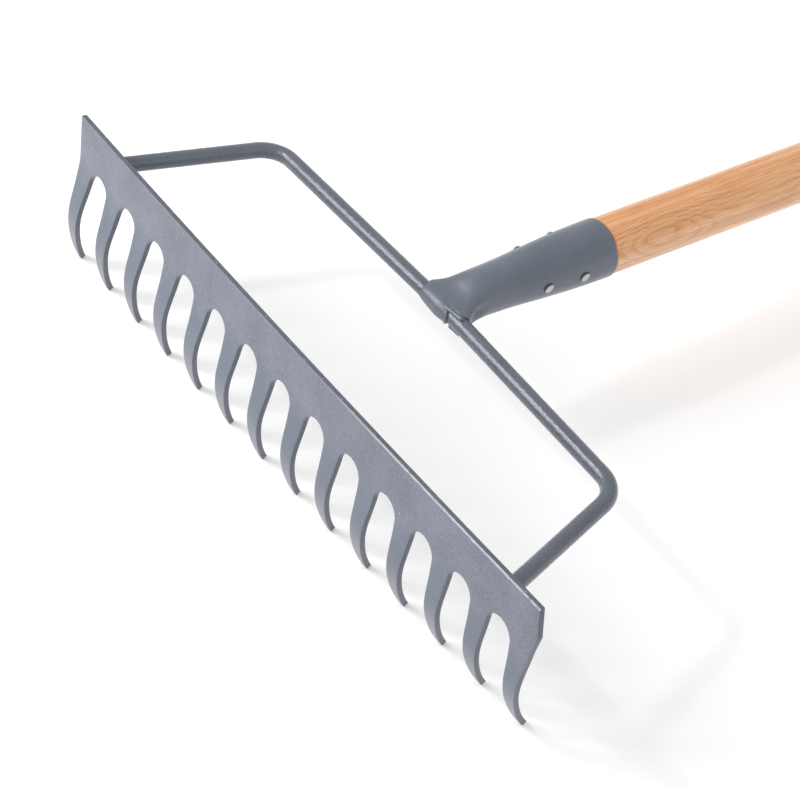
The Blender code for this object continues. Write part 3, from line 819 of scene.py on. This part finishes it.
FOOT_BEAD = 0.0014
LIP_BEAD = 0.0013
TONGUE_BEAD = 0.8 * LIP_BEAD
UPPER_BEAD_REACH = 0.0125  # from the outer end of the lip
LOWER_BEAD_REACH = 0.0075
LIP_BEAD_END = 0.0010
LIP_BEAD_LEAD = 0.0008  # the bead's middle is this far in front of the lip's edge
LIP_BEAD_RISE = 0.0005  # and this far off the rod
TONGUE_BEAD_ARC = (math.radians(-72), math.radians(62))  # about the rod's front, from above to below
TONGUE_BEAD_RISE = 0.0003
TONGUE_BEAD_LEAD = 0.0006
TONGUE_EDGE_RISE = 0.0004  # where the slant of the tongue's end is measured, off the rod
PUDDLE_SPACING = 0.0007
PUDDLE_UNEVENNESS = 0.12
BEAD_VOXEL = 0.00018
WELD_DARK = (0.080, 0.093, 0.117)
WELD_LIGHT = (0.130, 0.150, 0.183)


def bead_tree():
    """Overlapping frozen puddles along a path."""
    sizes = [("Bead radius", "Float"), ("Puddle spacing", "Float"), ("Unevenness", "Float"), ("Seed", "Int")]
    nodes = named_tree("bead", sizes, [("Material", "Material")])
    given = nodes.add("NodeGroupInput").outputs
    along = nodes.add("GeometryNodeCurveToPoints", {"mode": "LENGTH"},
                      {"Curve": given["Geometry"], "Length": given["Puddle spacing"]})
    puddle = nodes.add("GeometryNodeMeshIcoSphere",
                       inputs={"Radius": given["Bead radius"], "Subdivisions": 4})
    uneven = Reading(nodes, given["Unevenness"])
    varied = nodes.add("FunctionNodeRandomValue", {"data_type": "FLOAT"},
                       {2: 1 - uneven, 3: 1 + uneven, "Seed": given["Seed"]})
    scale = nodes.join(1, 1, Reading(nodes, varied.outputs[1]) * 0.85)
    placed = nodes.add("GeometryNodeInstanceOnPoints", inputs={
        "Points": along.outputs["Points"], "Instance": puddle.outputs[0],
        "Rotation": along.outputs["Rotation"], "Scale": scale})
    end_tree(nodes, placed.outputs[0], given["Material"])
    return nodes


def on_rod(x, angle, distance):
    """A point at this distance from the rod's axis; angle 0 is its top and 90 degrees its front."""
    return x, bow_sag(x) - distance * math.sin(angle), distance * math.cos(angle)


def lip_bead_path(side, reach):
    """Along the edge of the upper lip (side 1) or the lower one (side -1)."""
    (ax, ay), (bx, by) = LIP_EDGE
    path = []
    for x in np.linspace(bx - reach, bx - LIP_BEAD_END, 20):
        edge = ay + (by - ay) * (x - ax) / (bx - ax)
        angle = math.asin((LIP_BEAD_LEAD - edge) / (ROD_RADIUS + LIP_BEAD_RISE))
        x, y, z = on_rod(x, angle, ROD_RADIUS + LIP_BEAD_RISE)
        path.append((x, y, side * z))
    return path


def tongue_bead_path():
    """Down the slanted end of the tongue, round the front of the rod."""
    (ax, ay), (cx, cy) = LIP_EDGE[0], TONGUE_END
    slant = (cx - ax) / (ay - cy)
    path = []
    for swung in np.linspace(*TONGUE_BEAD_ARC, 18):
        y = -(ROD_RADIUS + TONGUE_EDGE_RISE) * math.cos(swung)
        x = ax + (ay - y) * slant + TONGUE_BEAD_LEAD
        path.append(on_rod(x, math.pi / 2 + swung, ROD_RADIUS + TONGUE_BEAD_RISE))
    return path


def foot_bead_path(side):
    """A ring round the rod where it meets the back of the plate."""
    splay = (BOW_FOOT_X - BOW_CORNER[0]) / (BOW_CORNER[1] - TOP_EDGE[0])
    s = (TOP_EDGE[1] - TOP_EDGE[0] * BOW_SLOPE) / math.cos(PLATE_LEAN)
    x = BOW_FOOT_X - PLATE_THICKNESS * splay
    front_y, front_z = pressed(s)
    y = front_y + PLATE_THICKNESS * math.cos(PLATE_LEAN)
    y -= HEAD_BOW * (1 - (x / HALF_HEAD) ** 2)
    z = front_z + PLATE_THICKNESS * math.sin(PLATE_LEAN)
    rise = 0.4 * FOOT_BEAD
    path = []
    for angle in np.linspace(0, math.tau, 41):
        across = (ROD_RADIUS + rise) * math.hypot(1, splay) * math.cos(angle) - splay * rise
        up = (ROD_RADIUS + rise) * math.sin(angle)
        path.append((side * (x + across), y + rise + up * math.tan(-PLATE_LEAN), z + up))
    return path


weld_coat, weld_body = powder_coat("weld_coat", WELD_DARK, WELD_LIGHT, grain=0.7, orange_peel=0.00022,
                                   roughness=0.26, coat=0.6)
weld_coat.colour(weld_body)
beads = bead_tree()
runs = (("weld_bow_left", foot_bead_path(-1), FOOT_BEAD, 3),
        ("weld_bow_right", foot_bead_path(1), FOOT_BEAD, 5),
        ("weld_socket_upper", lip_bead_path(1, UPPER_BEAD_REACH), LIP_BEAD, 7),
        ("weld_socket_lower", lip_bead_path(-1, LOWER_BEAD_REACH), LIP_BEAD, 11),
        ("weld_tongue", tongue_bead_path(), TONGUE_BEAD, 13))
for node, path, radius, seed in runs:
    line = path_object(f"{node}_line", path)
    run_tree(line, beads, {"Bead radius": radius, "Puddle spacing": PUDDLE_SPACING,
                           "Unevenness": PUDDLE_UNEVENNESS, "Seed": seed, "Material": weld_coat.material})
    fused = line.modifiers.new("fused", "REMESH")
    fused.mode = "VOXEL"
    fused.voxel_size = BEAD_VOXEL
    bead = finished(f"{node}_bead", line)
    bead.data.materials.clear()
    bead.data.materials.append(weld_coat.material)
    shade(bead, 180)
    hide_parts(node)
    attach(bead, "root")


# ---- Shaft ----
# A 30.6 mm ash stick, turned, with a tenon driven into the socket and a rounded butt. It is cut so that the
# growth rings run edge on along its top and open into flat figure on its right, and it is varnished.

SHAFT_RADIUS = 0.0153
SHAFT_LENGTH = 1.400
BUTT_RADIUS = 0.008
BUTT_FLAT_RADIUS = 0.004
TENON_END = 0.0238
TENON_CLEARANCE = 0.0003
PALE_ASH = (0.800, 0.430, 0.205)
HONEY_ASH = (0.600, 0.225, 0.065)
PALE_SAPWOOD = (0.80, 0.52, 0.34)
DARK_SAPWOOD = (0.64, 0.33, 0.17)
PORE_BROWN = (0.280, 0.090, 0.025)
PITH = (-0.052, -0.004)  # its x and z: off to the left of the shaft
RING_WIDTH = 0.0014


def shaft_profile():
    """From the middle of the butt along the outside to the end of the tenon."""
    butt_y = SOCKET_MOUTH_Y + SHAFT_LENGTH
    profile = [(AXIS_RADIUS, butt_y), (BUTT_FLAT_RADIUS, butt_y)]
    for angle in np.linspace(0, math.pi / 2, 13):
        radius = SHAFT_RADIUS - BUTT_RADIUS * (1 - math.sin(angle))
        profile.append((radius, butt_y - BUTT_RADIUS * (1 - math.cos(angle))))
    for y in np.linspace(butt_y - BUTT_RADIUS - 0.01, SOCKET_MOUTH_Y + 0.0016, 60):
        profile.append((SHAFT_RADIUS, y))
    profile.append((SHAFT_RADIUS - 0.0002, SOCKET_MOUTH_Y + 0.0008))
    for y in np.linspace(SOCKET_MOUTH_Y, TENON_END, 14):
        profile.append((socket_radius(y) - SOCKET_WALL - TENON_CLEARANCE, y))
    return [*profile, (AXIS_RADIUS, TENON_END)]


def varnished_ash():
    """Ash with rings about a pith beyond its left side: pale early wood, darker late wood and pores."""
    wood = Finish("varnished_ash", roughness=0.38, coat=0.35, coat_roughness=0.18)
    drift = wood.noise(wood.stretched(14, 5.5, 14), 1, 2, 0.5)
    swirl = wood.noise(wood.stretched(60, 16, 60), 1, 2, 0.5)
    x, y, z = wood.split(wood.place)
    knot = y.step(0.095, 0.125) * (1 - y.step(0.125, 0.170))
    across = x - PITH[0] + (drift - 0.5) * 0.020 + (swirl - 0.5) * 0.0045 + knot * 0.0030
    up = z - PITH[1] + (swirl - 0.5) * 0.004
    from_pith = (across * across + up * up).math("SQRT")
    ring = (from_pith * (1 / RING_WIDTH)).math("FRACT")
    late = ring.step(0.35, 0.95) * (1 - ring.step(0.95, 1.0))
    fibres = wood.noise(wood.stretched(2200, 55, 2200), 1, 2, 0.6)
    streaks = wood.noise(wood.stretched(560, 9, 560), 1, 3, 0.7)
    bands = wood.noise(wood.stretched(130, 7, 130), 1, 2, 0.5)
    pores = fibres.step(0.56, 0.66) * (0.35 + 0.65 * ring.step(0.5, 0.1))
    figure = (0.24 + late * 0.45 + (streaks - 0.5) * 2.6 + (bands - 0.5) * 2.2).clip()
    sapwood = x.step(0.002, 0.0115) * (1 - z.step(0.000, 0.012))
    inner = wood.blend(figure, PALE_ASH, HONEY_ASH)
    outer = wood.blend(figure, PALE_SAPWOOD, DARK_SAPWOOD)
    tone = wood.blend(sapwood * 0.75, inner, outer)
    wood.colour(wood.blend((pores * 0.65).clip(), tone, PORE_BROWN))
    wood.relief(fibres * -0.5 + late * 0.3, 0.00002)
    wood.feed(wood.shader.inputs["Roughness"], (0.34 + pores * 0.15).clip())
    return wood.material


shaft_made = workpiece("shaft_made", along_shaft(turned("shaft", shaft_profile(), 96)))
shaft_made.data.materials.append(varnished_ash())
shaft = finished("shaft", shaft_made)
shade(shaft, 35)
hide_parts("handle")
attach(shaft, "root")


# ---- Rivets ----
# Two steel pins driven through socket and shaft, each with a low domed head on both sides. They were set
# after coating, so they are bare; painted shade makes a dark ring round the edge of each head, strong on the
# right and faint on the left.

RIVET_YS = (0.0540, 0.0760)
RIVET_RADIUS = 0.0022
RIVET_HEAD_RADIUS = 0.0030
RIVET_HEAD_HEIGHT = 0.0013
RIVET_TILT = math.radians(10.8)  # the right ends are lower
RIVET_SKEW = math.radians(3.9)  # and nearer to the butt
RIVET_OFFSET = 0.0024  # from the shaft's axis
RIVET_SEATING = 0.0003  # how far the heads sit into the socket's outside
PIN_DARK = (0.40, 0.39, 0.41)
PIN_LIGHT = (0.66, 0.64, 0.66)
# Painted shade round the edges of the heads.
HEAD_RIM_PAINTED_SHADE = (0.075, 0.080, 0.095)


def rivet_profile(seat):
    """Pin and two domed heads, whose undersides are this far from the middle."""
    dome = []
    for angle in np.linspace(0.02, math.pi / 2, 9):
        rise = RIVET_HEAD_HEIGHT * math.cos(angle) ** 0.8
        dome.append((RIVET_HEAD_RADIUS * math.sin(angle), seat + rise))
    return [*dome, (RIVET_RADIUS, seat), (RIVET_RADIUS, -seat), *((r, -z) for r, z in reversed(dome))]


def hammered_steel():
    """Bare steel, dented by the hammer. Painted shade darkens the edge of each head on the right; on the left
    that edge is nearly bare.
    """
    steel = Finish("rivet_steel", roughness=0.34, metallic=0.5)
    dents = steel.noise(steel.place, 700, 2, 0.5)
    tarnish = steel.noise(steel.place, 260, 3, 0.6)
    bare = steel.blend(tarnish, PIN_DARK, PIN_LIGHT)
    attribute = steel.add("ShaderNodeAttribute", {"attribute_name": "from_axis"})
    from_axis = Reading(steel, attribute.outputs["Fac"])
    right_side = steel.split(steel.place)[0].step(0, 0.001)
    # Painted shade round the edge of each head, strong on the right only.
    painted_rim_shade = from_axis.step(0.00255, 0.00285) * (0.15 + 0.85 * right_side)
    steel.colour(steel.blend(painted_rim_shade, bare, HEAD_RIM_PAINTED_SHADE))
    steel.relief(dents, 0.00010)
    steel.feed(steel.shader.inputs["Roughness"], (0.28 + tarnish * 0.25).clip())
    return steel.material


rivet_steel = hammered_steel()
for node, y in (("rivet_front", RIVET_YS[0]), ("rivet_rear", RIVET_YS[1])):
    pin_mesh = turned(node, rivet_profile(socket_radius(y) - RIVET_SEATING), 48)
    off_axis = pin_mesh.attributes.new("from_axis", "FLOAT", "POINT")
    off_axis.data.foreach_set("value", [math.hypot(point.co.x, point.co.y) for point in pin_mesh.vertices])
    lifted = Vector((math.sin(RIVET_TILT), 0, math.cos(RIVET_TILT))) * RIVET_OFFSET
    seated = Matrix.Translation(lifted + Vector((0, y, SHAFT_AXIS_Z)))
    skewed = seated @ Matrix.Rotation(RIVET_SKEW, 4, "Z")
    pin_mesh.transform(skewed @ Matrix.Rotation(math.pi / 2 + RIVET_TILT, 4, "Y"))
    pin = workpiece(f"{node}_made", pin_mesh)
    pin.data.materials.append(rivet_steel)
    rivet = finished(f"{node}_pin", pin)
    shade(rivet, 50)
    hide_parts(node)
    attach(rivet, "root")
